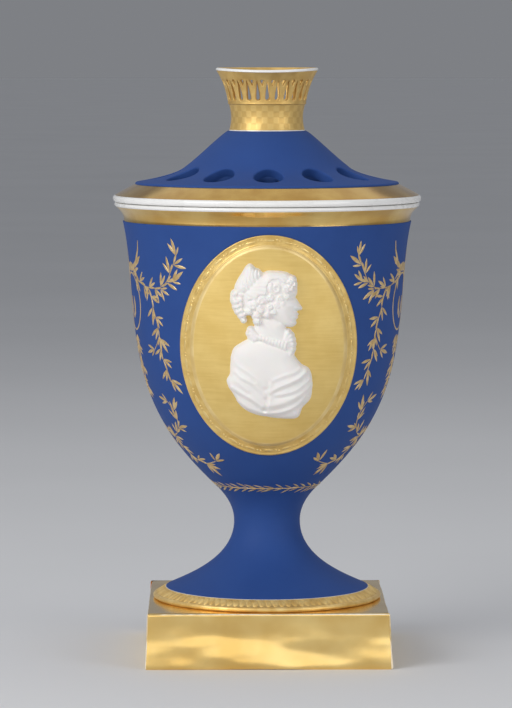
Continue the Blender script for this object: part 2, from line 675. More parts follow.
ring_mid_z, ring_a, ring_b = 194.2, 11.0, 15.5
turns = np.radians(np.arange(0, 361, 7.5))
hanging_ring = [(ring_a * math.cos(a), ring_mid_z + ring_b * math.sin(a)) for a in turns]
side_strokes = [
    (hanging_ring, [1.0] * len(turns)),
    ([(-3, 197), (-3.6, 193), (-3, 188.5), (-1, 185)], [0.6, 3.6, 3.2, 0.4]),
    ([(2, 197), (2.6, 193), (2, 188.5), (0, 185)], [0.6, 3.6, 3.2, 0.4]),
    ([(-6.5, 212.5), (-3, 213), (0, 213.2), (3, 213), (6.5, 212.5)], [2.0, 4.6, 5.2, 4.6, 2.0])]
for mirror in (1, -1):
    for points, widths in (([(4, 213.2), (8, 214.6), (11.5, 216.8), (14.5, 219.5)], [1.6, 3.4, 3.2, 0.5]),
                           ([(9, 215.5), (10.9, 219), (13.1, 223), (14.4, 228)], [2.4, 2.0, 1.3, 0.3]),
                           ([(5, 211.5), (8, 209.5), (11, 207)], [0.6, 2.2, 0.4])):
        side_strokes.append(([(mirror * a, z) for a, z in points], widths))
for middle in (side_left, side_right):
    for points, widths in side_strokes:
        made = stroke(on_plane(points, 0), widths)
        spray_shapes.append(laid(made, bowl_plane(middle, 1 if middle < 0 else -1)))
piece("painted_sprays", spray_shapes, "vase", sharp=60)

laurel_z, laurel_r, laurel_sway = joint_z + 0.6, 29.2, 0.1
laurel_along = float(np.interp(laurel_z, bowl_run[:, 1], bowl_length))
laurel_path = [[(x, laurel_along + laurel_sway * math.sin(x / 2.3))
                for x in np.linspace(-math.pi * laurel_r, math.pi * laurel_r, 120, endpoint=False)]]
leaves = grown(spray, *chain(laurel_path), [], spray_gold, Leaf_Length=7.4 * MM, Leaf_Width=1.1 * MM,
               Leaf_Height=0.16 * MM, Spacing=4.7 * MM, First=0.48, Second=-0.48, Third=0.0, Sides=1,
               Stem=0.25 * MM, Seed=140)
piece("laurel_band", [laid(leaves, bowl_plane(0, 1, laurel_r))], "vase", sharp=60)

# Medallion: an oval plaque on the front of the bowl, gilded all over and raised in two steps.
# The border is tooled with bead and reel between two fillets, and a bevel rises to the field,
# which is brushed to a satin finish. It is luted to the bowl with slip.
medal_a, medal_b = 47.3, 59.9
medal_z = joint_z + 80.7
bevel_inset, field_inset, field_out = 5.2, 7.4, 2.2
back_inset, back_out = 0.1, 0.1
medal_steps = 240


def on_front(across, up, out):
    """A point in front of the bowl: across, up from the oval's centre, and out from the surface."""
    across, up, out = np.broadcast_arrays(across, up, out)
    r = np.interp(medal_z + up, bowl_run[:, 1], bowl_run[:, 0])
    return np.stack([across, -np.sqrt(r * r - across * across) - out, medal_z + up], -1)


def satin_gold():
    """Gilding left matt: faint strokes across, and dull where the burnisher did not reach."""
    material, shader, place = finish("satin_gold")
    brush = place.stretched(60, 60, 900).mottle(1000, 3.0, 0.6)
    cloud = place.mottle(16, 3.0)
    tone = 0.4 * brush + 0.6 * cloud
    feed(shader, Base_Color=tone.rise(0.3, 0.7).between((230, 195, 112), (244, 213, 134)),
         Metallic=0.5 + 0.16 * cloud, Roughness=0.42 + 0.12 * brush,
         Normal=roughened(place, 0.4 * brush + 0.4 * place.mottle(0.6), 0.01))
    return material


field_gold = satin_gold()
border_gold = gilding("border_gold", 0.32, 6, 5, 0.02, ((224, 186, 106), (242, 208, 130)), 0.58)
bevel_gold = gilding("bevel_gold", 0.38, 9, 6, 0.01, ((234, 200, 126), (248, 220, 154)), 0.5)


def oval(inset, out, share=1.0):
    """A ring of the plaque: in from its edge, out from the bowl, and drawn in by a share."""
    t = np.arange(medal_steps) * 2 * math.pi / medal_steps
    return on_front(share * (medal_a - inset) * np.cos(t), share * (medal_b - inset) * np.sin(t), out)


border_steps = [(back_inset, back_out), (0, 0.35), (0, 0.7), (0.12, 0.9), (0.35, 1.02), (0.7, 1.02),
                (0.95, 0.92), (1.1, 0.78), (1.3, 0.74), (4.3, 0.74), (4.5, 0.8), (4.65, 0.95), (4.9, 1.0),
                (5.15, 0.95), (5.3, 0.98), (5.7, 1.4), (6.15, 1.8), (6.6, 2.05), (7.0, 2.17)]
medal_levels = [(oval(inset, out), border_gold if inset < bevel_inset else bevel_gold)
                for inset, out in border_steps]
medal_levels += [(oval(field_inset, field_out, share), field_gold) for share in (
    1.0, 0.96, 0.9, 0.82, 0.74, 0.66, 0.58, 0.5, 0.42, 0.34, 0.26, 0.18, 0.1, 0.04)]
back_levels = [(oval(back_inset, back_out, share), raw_white) for share in (1.0, 0.8, 0.6, 0.4, 0.2, 0.05)]
medal_shapes = rings_shape(medal_levels, closed=False) + rings_shape(back_levels, closed=False)
for centre_out, (last, made) in ((field_out, medal_levels[-1]), (back_out, back_levels[-1])):
    hub = [tuple(on_front(0.0, 0.0, centre_out) * MM)] + [tuple(p * MM) for p in last]
    medal_shapes.append((hub, [(0, 1 + i, 1 + (i + 1) % medal_steps) for i in range(medal_steps)], made))
piece("medallion_gilt", medal_shapes, "vase", ["medallion"], sharp=50)


def beaded_tree():
    """A run of bead and reel along a closed path: one long bead, then two round ones."""
    given = form_tree("bead_and_reel", ("Count", "Int"), ("Length", "Float"), ("Width", "Float"),
                      ("Height", "Float"), ("Small", "Float"), ("First", "Float"), ("Second", "Float"))
    path = given["Geometry"].node("GeometryNodeMeshToCurve", values={0: given["Geometry"]})
    dots = path.node("GeometryNodeCurveToPoints", {"mode": "COUNT"}, {"Curve": path, "Count": given["Count"]})
    east, north, _ = Wire(path.tree, dots.socket.node.outputs["Tangent"]).axes()
    ball = path.node("GeometryNodeMeshUVSphere", values={"Segments": 10, "Rings": 6, "Radius": 0.5})
    x, y, z = path.node("GeometryNodeInputPosition").axes()
    beads = []
    small = given["Small"]
    for shift, length, width in ((0.0, given["Length"], given["Width"]), (given["First"], small, small),
                                 (given["Second"], small, small)):
        spot = path.point(x * length + shift, y * width, z * 2 * given["Height"])
        beads.append(path.node("GeometryNodeSetPosition", values={"Geometry": ball, "Position": spot}))
    turn = north.maths("ARCTAN2", east).about_z()
    unit = path.node("GeometryNodeJoinGeometry", values={"Geometry": beads})
    run = path.node("GeometryNodeInstanceOnPoints", values={"Points": dots, "Instance": unit, "Rotation": turn})
    return end_tree(run, given["Finish"])


tool_gold = gilding("tool_gold", 0.26, 4, 3, 0.01, ((234, 198, 120), (250, 222, 152)), 0.7)
tool_inset, tool_bed = 2.85, 0.72
tool_path = [[((medal_a - tool_inset) * math.cos(a), (medal_b - tool_inset) * math.sin(a))
              for a in np.linspace(0, 2 * math.pi, 120, endpoint=False)]]
tooling = grown(beaded_tree(), *chain(tool_path, closed=True), [], tool_gold, Count=32, Length=5.6 * MM,
                Width=1.4 * MM, Height=0.28 * MM, Small=1.2 * MM, First=4.2 * MM, Second=5.8 * MM)
piece("medallion_tooling", [laid(tooling, lambda x, y, out: on_front(x, y, out + tool_bed))], "vase",
      sharp=60)

# Portrait relief: a bust in profile, pressed in white biscuit and applied to the medallion's field.
# A draped bodice, a frilled collar, and hair dressed up in curls with a knot at the crown.
# The face is a plain classical one on equal thirds. Biscuit is fired without glaze, so it is matt.
grid, relief_fall, far_below = 0.27, 4, -9.0
relief_u, relief_v = np.meshgrid(np.arange(-25, 27, grid), np.arange(-41, 48, grid))


def rounded_path(points, closed=False, runs=6):
    """A smooth path through a few points."""
    p = np.array(points, float)
    if closed:
        p = np.concatenate([p[-1:], p, p[:2]])
    else:
        p = np.concatenate([2 * p[:1] - p[1:2], p, 2 * p[-1:] - p[-2:-1]])
    made = []
    for a, b, c, d in zip(p[:-3], p[1:-2], p[2:-1], p[3:]):
        for s in np.arange(runs) / runs:
            made.append(b + s * (c - a) / 2 + s * s * (2 * a - 5 * b + 4 * c - d) / 2
                        + s ** 3 * (3 * b - a - 3 * c + d) / 2)
    if not closed:
        made.append(p[-2])
    return np.array(made)


def reach(path, closed=False):
    """For each point of the relief: how far it is from a path, and how far along the nearest spot lies."""
    ends = np.concatenate([path[1:], path[:1]]) if closed else path[1:]
    starts = path if closed else path[:-1]
    total = np.linalg.norm(ends - starts, axis=1).sum()
    best = np.full(relief_u.shape, 1e9)
    share = np.zeros(relief_u.shape)
    gone = 0.0
    for a, b in zip(starts, ends):
        run = b - a
        length = np.linalg.norm(run) + 1e-9
        s = np.clip(((relief_u - a[0]) * run[0] + (relief_v - a[1]) * run[1]) / length ** 2, 0, 1)
        far = np.hypot(relief_u - a[0] - s * run[0], relief_v - a[1] - s * run[1])
        nearer = far < best
        best = np.where(nearer, far, best)
        share = np.where(nearer, (gone + s * length) / total, share)
        gone += length
    return best, share


def within(u, v, loop):
    """Which points lie inside a closed loop."""
    inside = np.zeros(np.shape(u), bool)
    for a, b in zip(loop, np.roll(loop, -1, 0)):
        crosses = (a[1] > v) != (b[1] > v)
        rate = (b[0] - a[0]) / (b[1] - a[1]) if b[1] != a[1] else 0.0
        inside ^= crosses & (u < a[0] + (v - a[1]) * rate)
    return inside


def mound(points, rise, roll, stand=1.3):
    """Relief within an outline: a low wall, then a round rise that takes this width to level off."""
    path = rounded_path(points, True)
    far, _ = reach(path, True)
    d = np.where(within(relief_u, relief_v, path), far, -far)
    s = np.clip(d / roll, 0, 1)
    return np.where(d > 0, stand + (rise - stand) * np.sqrt(1 - (1 - s) ** 2), stand + relief_fall * d)


def swell(u, v, area, squeeze=1):
    """A soft round rise about a point, of height 1."""
    return np.exp(-((relief_u - u) ** 2 + squeeze * (relief_v - v) ** 2) / area)


def ridge(points, width, height, thin=0.5):
    """A soft fold along a path, thinner towards its end."""
    far, share = reach(rounded_path(points))
    return height * (1 - thin * share) * np.exp(-(far / width) ** 2)


def lock(base, points, width, height, thin=0.4):
    """A lock of hair lying on a base: a round rib along a path."""
    far, share = reach(rounded_path(points))
    half = width * (1 - thin * share)
    rib = np.sqrt(np.clip(1 - (far / half) ** 2, 0, 1))
    return np.where(far < half, base + height * rib, far_below)


def swirl(u, v, size, start, way, turns=1.3):
    """The path of a curl, from its outside to its eye."""
    a = np.radians(start) + way * np.linspace(0, 2 * math.pi * turns, 16)
    r = size * np.linspace(0.72, 0.12, 16)
    return np.stack([u + r * np.cos(a), v + r * np.sin(a)], 1)


bust = mound([(-8, 5), (-15.6, 1.8), (-19, -1.7), (-20, -9), (-20.2, -14), (-22, -18.5), (-18, -26), (-14, -32),
              (-8, -35.6), (0, -37.4), (9, -38.3), (15.2, -37.8), (17.6, -32.5), (22, -27.2), (22.6, -18),
              (21, -11.7), (16.8, -9), (13.2, -4.5), (11, -1), (4, 3)], 6.0, 9, 1.5)
for u, v, size, height in ((-9, -15, 7, 0.7), (12, -16, 7.5, 1.1), (-14, -4, 5, 0.4)):
    bust += height * swell(u, v, size ** 2)
bodice_folds = [
    ([(-21.5, -7.5), (-20, -13), (-16.5, -19), (-12, -23)], 1.1, 1.0),
    ([(-20, -5), (-16.5, -9.5), (-12, -12.5), (-7.5, -16.5), (-3.5, -20.5)], 1.2, 0.8),
    ([(-18.5, -12.5), (-15.5, -15.5), (-10.5, -18), (-6, -22), (-3, -26)], 1.2, 0.9),
    ([(-20, -21.5), (-14, -25), (-9, -28), (-4, -32)], 1.4, 1.6),
    ([(-16.5, -29), (-12, -32), (-7.5, -34), (-2, -35.5)], 1.2, 1.1),
    ([(-6.5, -18.5), (-3.5, -23.5), (-2, -28.5)], 0.8, 0.6),
    ([(16.5, -10.5), (14, -12.5), (8, -14.5), (2, -17)], 0.9, 0.5),
    ([(19.5, -13), (16, -16), (11, -18.5), (6, -20.5), (0.5, -23.5)], 1.2, 1.0),
    ([(21.5, -17), (14.5, -22.5), (8, -24.5), (2, -25)], 1.0, 0.7),
    ([(22, -20.5), (16, -25.5), (9.5, -29), (3, -31), (-1.5, -31.5)], 1.9, 1.3),
    ([(20, -25.5), (15.5, -30.5), (10, -33.5), (4.5, -35), (-2.5, -35.5)], 1.1, 1.0),
    ([(-2, -34), (-1, -29), (-0.4, -24), (-0.6, -18)], 1.1, -0.5)]
hollow_share, hollow_u, hollow_v = 0.45, 1.0, -1.7
for path, width, height in bodice_folds:
    bust += ridge(path, width, height)
    bust -= ridge([(u + hollow_u, v + hollow_v) for u, v in path], width, hollow_share * height, 0)

neck = mound([(-6, 17), (-6.5, 5), (0, 2), (11, 0), (10, 7), (8.6, 11), (8, 15)], 4.6, 6.5, 1.0)
neck += ridge([(-3, 16), (1, 9), (6, 3)], 1.6, 0.4)

collar_base = mound([(-9.5, 9), (-4, 7.2), (2, 5.6), (8, 5.2), (10.6, 6.6), (11.8, 4), (12.4, 0), (11.6, -3),
                     (6, -0.8), (0, 1.6), (-5, 3.8), (-8.2, 4.8)], 5.6, 2.2, 2.2)
frills = [[(-6, 6.4), (-8, 8.4), (-9.6, 9.6)], [(-6.5, 5.8), (-8.6, 7), (-10.2, 7.8)],
          [(-7, 5.2), (-8.4, 5.7), (-9.4, 6.0)], [(-6.8, 4.7), (-7.6, 4.6), (-8.2, 4.7)],
          [(8.2, 4.6), (9.2, 6.6), (9.9, 8.2)], [(8.4, 3.8), (10.2, 5.5), (11.3, 6.6)],
          [(8.6, 2.7), (10.8, 3.8), (12, 4.3)], [(8.8, 1.4), (11, 1.9), (12.3, 2)],
          [(9, 0.2), (11, -0.2), (12.1, -0.6)], [(9.2, -1), (10.6, -1.9), (11.3, -2.7)]]
frill_bed, frill_root, frill_flare = 3.9, 0.75, 0.55
pleats, pleat_start, pleat_run = 9, (-4.5, 5.0), (13, -4.2)
collar_bed = collar = collar_base - 0.5
for path in frills:
    far, share = reach(rounded_path(path))
    half = frill_root + frill_flare * share
    frill = frill_bed + half * np.sqrt(np.clip(1 - (far / half) ** 2, 0, 1))
    collar = np.maximum(collar, np.where(far < half, frill, frill_bed - relief_fall * (far - half)))
for k in range(pleats):
    s = k / (pleats - 1)
    u, v = pleat_start[0] + pleat_run[0] * s, pleat_start[1] + pleat_run[1] * s
    pleat = [(u - 0.4, v - 1.4), (u, v + 0.6), (u + 0.5, v + 2.2)]
    collar = np.maximum(collar, lock(collar_bed, pleat, 0.85, 0.9, 0.0))

face = mound([(13, 37), (14.2, 33.5), (14.5, 31), (14.4, 28.8), (13.6, 27.2), (14.7, 25.2), (16.1, 22.9),
              (17.2, 21.2), (16.8, 20.4), (14.7, 20), (14.4, 18.9), (15.3, 17.9), (14.5, 17.1), (15, 16.2),
              (13.8, 14.9), (14.2, 13.2), (12.9, 11.8), (10.5, 11.4), (6.5, 12.6), (0.5, 16), (-3, 22),
              (-4, 34), (5, 39)], 6.4, 8.5, 1.3)
face += 0.5 * swell(8, 21.5, 20)
face -= 0.95 * swell(11.6, 26.3, 5, 5 / 2.6)
face += 0.75 * swell(11.2, 26.1, 1.3)
for path, width, height, thin in (
        ([(13.7, 28.6), (12, 29.3), (9.6, 29.1), (7.6, 28.2)], 0.9, 0.35, 0.5),
        ([(12.5, 26.5), (11.7, 27.1), (10.5, 27), (9.2, 25.9)], 0.36, 0.45, 0.2),
        ([(12.3, 25.2), (11, 24.9), (9.3, 25.7)], 0.34, 0.3, 0.2),
        ([(14.9, 20.9), (14.2, 21.3)], 0.8, 0.55, 0),
        ([(13.1, 22.2), (12.9, 20.9), (13.5, 20)], 0.42, -0.4, 0.2),
        ([(14.9, 17.8), (13.4, 17.7), (12.1, 17.2)], 0.5, 0.35, 0.7),
        ([(14.6, 16.3), (13.3, 16.3), (12.2, 16.7)], 0.55, 0.35, 0.7),
        ([(14.8, 17.05), (13.3, 17), (11.6, 17.05)], 0.3, -0.45, 0.2),
        ([(14, 14.9), (12.6, 14.9)], 0.6, -0.25, 0.5)):
    face += ridge(path, width, height, thin)
face += 0.4 * swell(12.6, 13.2, 2.5)

hair_base = mound([(-12, 20), (-8.5, 17.5), (-4, 18), (0, 20), (3.5, 22), (6.5, 27), (9.5, 31), (13.6, 33.6),
                   (14.2, 35), (12.8, 37.6), (10.6, 39.3), (8, 40.3), (3.7, 40.8), (-1, 40.8), (-4, 39.2),
                   (-8, 38.5), (-13, 33), (-14.5, 28)], 7.2, 8, 1.6)
hair_bed = hair = hair_base - 0.45
combed = [[(11.4, 38), (7, 39.8), (1, 40.1), (-4.5, 38.6)],
          [(11.5, 36.6), (6.5, 38.4), (0.5, 38.8), (-5, 37.6)],
          [(9, 35.6), (5, 37.2), (0, 37.5), (-5.6, 36.6)], [(-0.5, 35.8), (-4, 36), (-7.5, 35)],
          [(-1.5, 33.6), (-4.5, 33.8), (-8.5, 33)], [(-1.5, 31), (-5, 31.6), (-9.5, 31.4)],
          [(-2, 28.8), (-6, 29.6), (-10.5, 30.2)], [(-6.5, 27.4), (-9.5, 28.6), (-12, 29.6)],
          [(-10, 25.6), (-12, 27.2), (-13.4, 28.8)]]
for path in combed:
    hair = np.maximum(hair, lock(hair_bed, path, 1.25, 0.5, 0.15))
curls = [(12.2, 36.6, 1.8, 60, 1), (13.4, 34, 1.3, 90, 1), (10.8, 35, 1.9, 200, -1), (3.4, 32.2, 4.2, 150, 1),
         (9, 31.6, 2.8, 40, -1), (11.8, 31.4, 1.3, 150, 1), (5.6, 26.8, 2.8, 220, 1), (9.2, 27.6, 1.9, 20, -1),
         (0.4, 27, 2.6, 80, -1), (-4, 25.2, 2.9, 0, 1), (4.2, 22.8, 2.5, 180, -1), (7.2, 23.6, 1.6, 30, 1),
         (0, 21.8, 2.5, 250, 1), (-8.6, 22.8, 3, 70, -1), (-4.6, 20.6, 2.5, 100, 1), (2.4, 19.2, 1.9, 200, -1),
         (-1.2, 18, 1.9, 40, 1), (-7, 17.4, 2.2, 240, 1), (-6.6, 14.6, 1.9, 30, -1), (-10.8, 19.6, 1.8, 180, 1)]
curl_foot, curl_round, curl_wide, curl_sunk, rib_wide, rib_high = 4.4, 1.6, 1.15, 1.1, 0.34, 1.35
for u, v, size, start, way in curls:
    near = ((relief_u - u) ** 2 + (relief_v - v) ** 2) / (curl_wide * size) ** 2
    bed = np.maximum(curl_foot + curl_round * np.sqrt(np.clip(1 - near, 0, 1)), hair_base - curl_sunk)
    curl = np.maximum(bed, lock(bed, swirl(u, v, size, start, way), rib_wide * size, rib_high))
    hair = np.where(near < 1, curl, hair)

knot_base = mound([(-4, 37.5), (-3.6, 39.6), (-5.5, 41.8), (-7.5, 42.5), (-9.8, 44.6), (-12, 43.5), (-14, 40),
                   (-16.5, 36), (-18, 31.5), (-14.5, 28.5), (-9, 30), (-5, 34)], 6.2, 5, 1.5)
knot_bed = knot = knot_base - 0.4
knot_locks = [
    [(-13, 29.5), (-16.2, 33.5), (-14.6, 38.6), (-11.6, 43)],
    [(-11.6, 30), (-14.6, 34.2), (-13.4, 39), (-10.8, 43.4)],
    [(-10, 31), (-12.8, 35.4), (-12, 39.8), (-10, 43.8)],
    [(-8.4, 32.2), (-10.8, 36.4), (-10.4, 40.2), (-9.2, 43.6)],
    [(-6.8, 33.6), (-9, 37.4), (-8.8, 40.8), (-8.2, 42.6)], [(-5.4, 35.2), (-7, 38.4), (-7, 41), (-6.8, 42)],
    [(-4.4, 37), (-5, 39), (-5.2, 41.2)], [(-15, 29.4), (-17.4, 32), (-16.4, 36)]]
for path in knot_locks:
    knot = np.maximum(knot, lock(knot_bed, path, 1.05, 1.0, 0.35))

ringlet_foot, ringlet_edge, ringlet_round, taper, coil_wide, coil_deep = 2.6, 2.4, 1.5, 0.35, 0.1, 0.28
ringlets = np.full(relief_u.shape, far_below)
for path, width, coil in (([(-15.5, 31), (-18.4, 28.5), (-18.6, 25), (-17.6, 22)], 1.7, 3.0),
                          ([(-17.6, 24.5), (-17.2, 21), (-15.4, 18), (-13.4, 14.8)], 1.7, 4.0),
                          ([(-14.6, 28.5), (-15.4, 24.5), (-14.8, 20.5), (-13.6, 17.5)], 1.5, 4.0)):
    far, share = reach(rounded_path(path))
    wave = np.cos(share * coil * 2 * math.pi)
    half = width * (1 - taper * share) * (1 + coil_wide * wave)
    tube = ringlet_foot + ringlet_round * half * np.sqrt(np.clip(1 - (far / half) ** 2, 0, 1))
    tube += coil_deep * wave
    ringlets = np.maximum(ringlets, np.where(far < half, tube, ringlet_edge - relief_fall * (far - half)))


def spread(field, pick, times):
    """Each point takes the most, or the least, of its neighbours, a few times over."""
    for _ in range(times):
        wide = np.pad(field, 1, mode="edge")
        tall, broad = field.shape
        field = pick.reduce([wide[j:j + tall, i:i + broad] for j in range(3) for i in range(3)])
    return field


gap_reach, gap_depth = 3, 1.1
tresses = np.maximum.reduce([hair, knot, ringlets])
filled = spread(spread(tresses, np.maximum, gap_reach), np.minimum, gap_reach)
tresses = np.maximum(tresses, filled - gap_depth)
relief = np.maximum.reduce([bust, neck, collar, face, tresses])
for _ in range(2):
    soft = np.pad(relief, 1, mode="edge")
    soft = (soft[:-2] + 2 * soft[1:-1] + soft[2:]) / 4
    relief = (soft[:, :-2] + 2 * soft[:, 1:-1] + soft[:, 2:]) / 4
sunk, relief_back = -0.4, -1.0
relief = np.maximum(relief, sunk)
rows, columns = relief.shape
solid = np.maximum.reduce([relief[:-1, :-1], relief[1:, :-1], relief[:-1, 1:], relief[1:, 1:]]) > sunk + 0.01
relief_front = on_front(relief_u, relief_v, field_out + relief).reshape(-1, 3) * MM
relief_rear = on_front(relief_u, relief_v, field_out + relief_back).reshape(-1, 3) * MM
relief_faces = []
count = rows * columns
for j, i in np.argwhere(solid):
    a, b, c, d = j * columns + i, j * columns + i + 1, (j + 1) * columns + i + 1, (j + 1) * columns + i
    relief_faces.append((a, b, c, d))
    relief_faces.append((count + a, count + d, count + c, count + b))
    for (p, q), (dj, di) in (((a, b), (-1, 0)), ((b, c), (0, 1)), ((c, d), (1, 0)), ((d, a), (0, -1))):
        if not (0 <= j + dj < rows - 1 and 0 <= i + di < columns - 1 and solid[j + dj, i + di]):
            relief_faces.append((p, count + p, count + q, q))

biscuit = fired_white("white_biscuit", 10, ((240, 236, 231), (247, 243, 239)), 0.58, 0.2, 0.3, 0.012,
                      Specular_IOR_Level=0.2, Subsurface_Weight=0.12, Subsurface_Scale=0.5 * MM)
relief_points = [tuple(p) for p in np.concatenate([relief_front, relief_rear])]
piece("portrait_biscuit", [(relief_points, relief_faces, biscuit)], "vase",
      ["portrait_relief"], sharp=75)

# Tie bolt, washers and nut: a forged iron bolt through bowl, foot and plinth, drawn up by a square nut.
# A leather washer guards the bowl's floor, and an iron plate spreads the pull under the plinth.


def forged_iron():
    """Dark wrought iron, rusted in patches."""
    material, shader, place = finish("forged_iron")
    cloud = place.mottle(4, 4.0)
    rust = place.mottle(2.5, 5.0, 0.65).rise(0.55, 0.72)
    feed(shader, Base_Color=rust.between((84, 80, 76), (104, 66, 42)), Metallic=1 - 0.8 * rust,
         Roughness=0.45 + 0.3 * cloud, Normal=roughened(place, place.mottle(0.8, 4.0), 0.05))
    return material


def brown_leather():
    """Thick brown hide with a pebbled grain."""
    material, shader, place = finish("brown_leather", Specular_IOR_Level=0.3)
    grain = place.node("ShaderNodeTexVoronoi", values={"Vector": place, "Scale": 900.0})
    feed(shader, Base_Color=place.mottle(5, 4.0).between((88, 58, 36), (128, 88, 55)),
         Roughness=0.6 + 0.25 * grain, Normal=roughened(place, grain, 0.08))
    return material


iron, leather = forged_iron(), brown_leather()
for node, made in (("tie_bolt", iron), ("under_washer", iron), ("nut", iron), ("head_washer", leather)):
    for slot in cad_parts[node].material_slots:
        slot.material = made

# Lid: a pierced cover with a flange that drops into the bowl's mouth.
# A white bead sits on the lip, a gilt band slopes up from it, and the blue dome curves in to a flat top.
# Twelve holes, longer down the slope than across, let the scent out; enamel softens their edges.
seat_z = rim_z + 0.3
bead_r = 84.2
band_z = seat_z + 3.6
edge_z = band_z + 6.0
dome_z = edge_z + 1.2
dome_top = dome_z + 27.8
dome_r, band_r = 70.9, 72.0
dome_top_r = 21.2
dome_foot_lean, dome_mid_lean, dome_top_lean = -80.5, -56.8, -66.2
band_foot_r, bead_edge = 83.0, 1.5
lid_wall = 5.2
roof_z = dome_top - lid_wall
flange_r, flange_bore, flange_z = 73.2, 69.7, seat_z - 9
hole_count, hole_r, hole_long, hole_circle, hole_soft = 12, 7.8, 1.2, 53.0, 0.9
cell_half, hole_steps = 11.6, 72

dome_mid = (45.8, dome_z + 7.4)
dome_line = joined(curve((dome_r, dome_z), dome_foot_lean, 8.5, dome_mid, dome_mid_lean, 6.9, 60),
                   curve(dome_mid, dome_mid_lean, 8.6, (dome_top_r, dome_top), dome_top_lean, 4.3, 60)[1:])


class Wall:
    """A turned wall that is pierced: its profile by length, and points at a depth below its face."""

    def __init__(self, line, flat_r, start=0.0):
        self.line, self.flat_r, self.start = line, flat_r, start
        self.length, self.inward = lengths(line), normals(line)

    def at(self, along, depth=0.0):
        """Radius and height at a length along the face and a depth below it."""
        return np.stack([np.interp(along, self.length, self.line[:, k])
                         + depth * np.interp(along, self.length, self.inward[:, k]) for k in (0, 1)], -1)

    def part(self, low, high, depth=0.0):
        """The profile between two lengths, at a depth."""
        mid = self.length[(self.length > low + 1e-6) & (self.length < high - 1e-6)]
        return self.at(np.concatenate([[low], mid, [high]]), depth)

    def place(self, points, depth):
        """Points of the flat plane, on the wall, in metres; the plane's width is an angle."""
        points = np.array(points)
        r, z = self.at(points[:, 1], depth).T
        turn = self.start + points[:, 0] / self.flat_r
        return [tuple(p) for p in np.stack([r * np.cos(turn), r * np.sin(turn), z], 1) * MM]

    def flat(self, outline):
        """An outline given in true widths round an upright line, as points of the flat plane."""
        outline = np.array(outline)
        return np.stack([outline[:, 0] * self.flat_r / self.at(outline[:, 1])[:, 0], outline[:, 1]], 1)


def sheet_with_holes(outline, holes, spacing):
    """Triangles over an outline with holes, on the loops' own points and a plain grid between them."""
    loops = [np.array(outline)] + [np.array(h) for h in holes]
    low, high = loops[0].min(0), loops[0].max(0)
    u, v = np.meshgrid(np.arange(low[0], high[0], spacing), np.arange(low[1], high[1], spacing * 0.87))
    u[1::2] += spacing / 2
    free = np.stack([u.ravel(), v.ravel()], 1)
    edge_points = np.concatenate(loops)

    def on_sheet(points):
        keep = within(*points.T, loops[0])
        for hole in loops[1:]:
            keep &= ~within(*points.T, hole)
        return keep

    gap = np.array([np.min(np.hypot(*(edge_points - p).T)) for p in free])
    keep = on_sheet(free) & (gap > 0.55 * spacing)
    edges, first = [], 0
    for loop in loops:
        edges.extend((first + i, first + (i + 1) % len(loop)) for i in range(len(loop)))
        first += len(loop)
    points = np.concatenate([edge_points, free[keep]])
    made = delaunay_2d_cdt([Vector(p) for p in points], edges, [], 0, 1e-7)
    points = np.array([tuple(p) for p in made[0]])
    faces = np.array([tuple(f) for f in made[2]])
    return points, [tuple(f) for f in faces[on_sheet(points[faces].mean(1))]]


def cell_loop(left, pitch, steps):
    """The outline of a cell: its left side, and the same side a pitch further on, joined below and above."""
    (low_x, low), (high_x, high) = left[0], left[-1]
    return ([(x, low) for x in np.linspace(low_x, low_x + pitch, steps + 1)[:-1]]
            + [(x + pitch, y) for x, y in left[:-1]]
            + [(x, high) for x in np.linspace(high_x + pitch, high_x, steps + 1)[:-1]]
            + left[:0:-1])


def pierced_cell(wall, thick, outline, holes, soft, soft_inside, spacing):
    """One cell of a pierced wall: its face with the holes' walls and soft edges, and its inside."""
    points, faces = sheet_with_holes(outline, [hole(soft) for hole in holes], spacing)
    inside_points, inside_faces = sheet_with_holes(outline, [hole(soft_inside) for hole in holes], spacing)
    face_points, face_faces = wall.place(points, 0.0), list(faces)
    arcs = np.radians(np.linspace(0, 90, 6))
    sides = [(soft * (1 - math.sin(a)), soft * (1 - math.cos(a))) for a in arcs]
    sides += [(soft_inside * (1 - math.sin(a)), thick - soft_inside * (1 - math.cos(a)))
              for a in (arcs[::-1] if soft_inside else arcs[:1])]
    for hole in holes:
        start, n = len(face_points), len(hole(0.0))
        for out, depth in sides:
            face_points.extend(wall.place(hole(out), depth))
        for k in range(len(sides) - 1):
            face_faces.extend(band(start + k * n, start + (k + 1) * n, n))
    return (face_points, face_faces), (wall.place(inside_points, thick), inside_faces)


dome = Wall(dome_line, hole_circle)
hole_mid = float(np.interp(-hole_circle, -dome_line[:, 0], dome.length))
cell_low, cell_high = hole_mid - cell_half, hole_mid + cell_half
hole_pitch = 2 * math.pi * hole_circle / hole_count
dome_left = [(-hole_pitch / 2, y) for y in np.linspace(cell_low, cell_high, 17)]
dome_cell = cell_loop(dome_left, hole_pitch, steps_round // hole_count)


def scent_hole(out):
    """The outline of a hole in the dome, widened by this much."""
    a = np.arange(hole_steps) * 2 * math.pi / hole_steps
    across, along = (hole_r + out) * np.cos(a), hole_mid + (hole_long * hole_r + out) * np.sin(a)
    return dome.flat(np.stack([across, along], 1))


